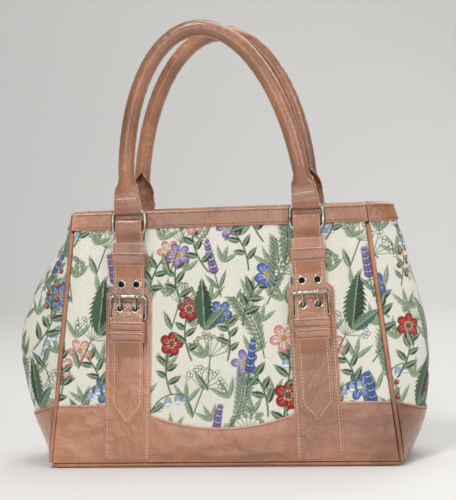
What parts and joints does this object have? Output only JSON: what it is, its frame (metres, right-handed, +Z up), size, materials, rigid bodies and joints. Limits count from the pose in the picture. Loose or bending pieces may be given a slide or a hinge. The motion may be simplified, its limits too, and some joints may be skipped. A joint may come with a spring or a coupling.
{
  "type": "tapestry handbag",
  "caption": "Soft tapestry satchel with leather base, band and piping, buckled front straps, and rolled leather handles that swing on metal rings at the mouth.",
  "frame": {"origin": "middle of the base, on the floor it stands on", "axes": "+X to the right of someone facing the front, -Y out of the front, +Z up"},
  "size_m": [0.4102, 0.1084, 0.4321],
  "materials": {
    "tapestry": "woven, matte",
    "leather": "grained, satin",
    "handle_leather": "creased, satin",
    "lining": "plain weave",
    "metal": "antique nickel",
    "board": "plain",
    "core": "matte foam"
  },
  "bodies": {
    "bag": {"front_panel": "tapestry", "back_panel": "tapestry", "left_gusset": "tapestry", "right_gusset": "tapestry", "front_base_leather": "leather", "back_base_leather": "leather", "left_base_leather": "leather", "right_base_leather": "leather", "bottom_panel": "leather", "base_board": "board", "lining": "lining", "front_band": "leather", "back_band": "leather", "left_band": "leather", "right_band": "leather", "front_left_piping": "leather", "front_right_piping": "leather", "back_left_piping": "leather", "back_right_piping": "leather", "bottom_piping": "leather", "front_left_patch": "leather", "front_right_patch": "leather", "back_left_patch": "leather", "back_right_patch": "leather", "front_left_strap": "leather", "front_right_strap": "leather", "back_left_strap": "leather", "back_right_strap": "leather", "front_left_ring_loop": "leather", "front_right_ring_loop": "leather", "back_left_ring_loop": "leather", "back_right_ring_loop": "leather", "left_upper_keeper": "leather", "right_upper_keeper": "leather", "left_middle_keeper": "leather", "right_middle_keeper": "leather", "left_lower_keeper": "leather", "right_lower_keeper": "leather", "left_buckle_tab": "leather", "right_buckle_tab": "leather", "left_buckle_frame": "metal", "right_buckle_frame": "metal", "left_buckle_prongs": "metal", "right_buckle_prongs": "metal", "left_eyelets": "metal", "right_eyelets": "metal"},
    "front_rings": {"front_left_ring": "metal", "front_right_ring": "metal"},
    "front_handle": {"front_handle": "handle_leather", "front_handle_core": "core", "front_left_handle_loop": "handle_leather", "front_right_handle_loop": "handle_leather"},
    "back_rings": {"back_left_ring": "metal", "back_right_ring": "metal"},
    "back_handle": {"back_handle": "handle_leather", "back_handle_core": "core", "back_left_handle_loop": "handle_leather", "back_right_handle_loop": "handle_leather"}
  },
  "joints": [
    {"name": "front_ring_swing", "type": "hinge", "parent": "bag", "child": "front_rings", "pos_m": [0, -0.03559, 0.22848], "axis": [1, 0, 0], "range_deg": [0, 95]},
    {"name": "front_handle_swing", "type": "hinge", "parent": "front_rings", "child": "front_handle", "pos_m": [0, -0.03358, 0.24938], "axis": [1, 0, 0], "range_deg": [-3, 75]},
    {"name": "back_ring_swing", "type": "hinge", "parent": "bag", "child": "back_rings", "pos_m": [0, 0.03559, 0.22848], "axis": [-1, 0, 0], "range_deg": [0, 95]},
    {"name": "back_handle_swing", "type": "hinge", "parent": "back_rings", "child": "back_handle", "pos_m": [0, 0.03358, 0.24938], "axis": [-1, 0, 0], "range_deg": [-3, 75]}
  ]
}
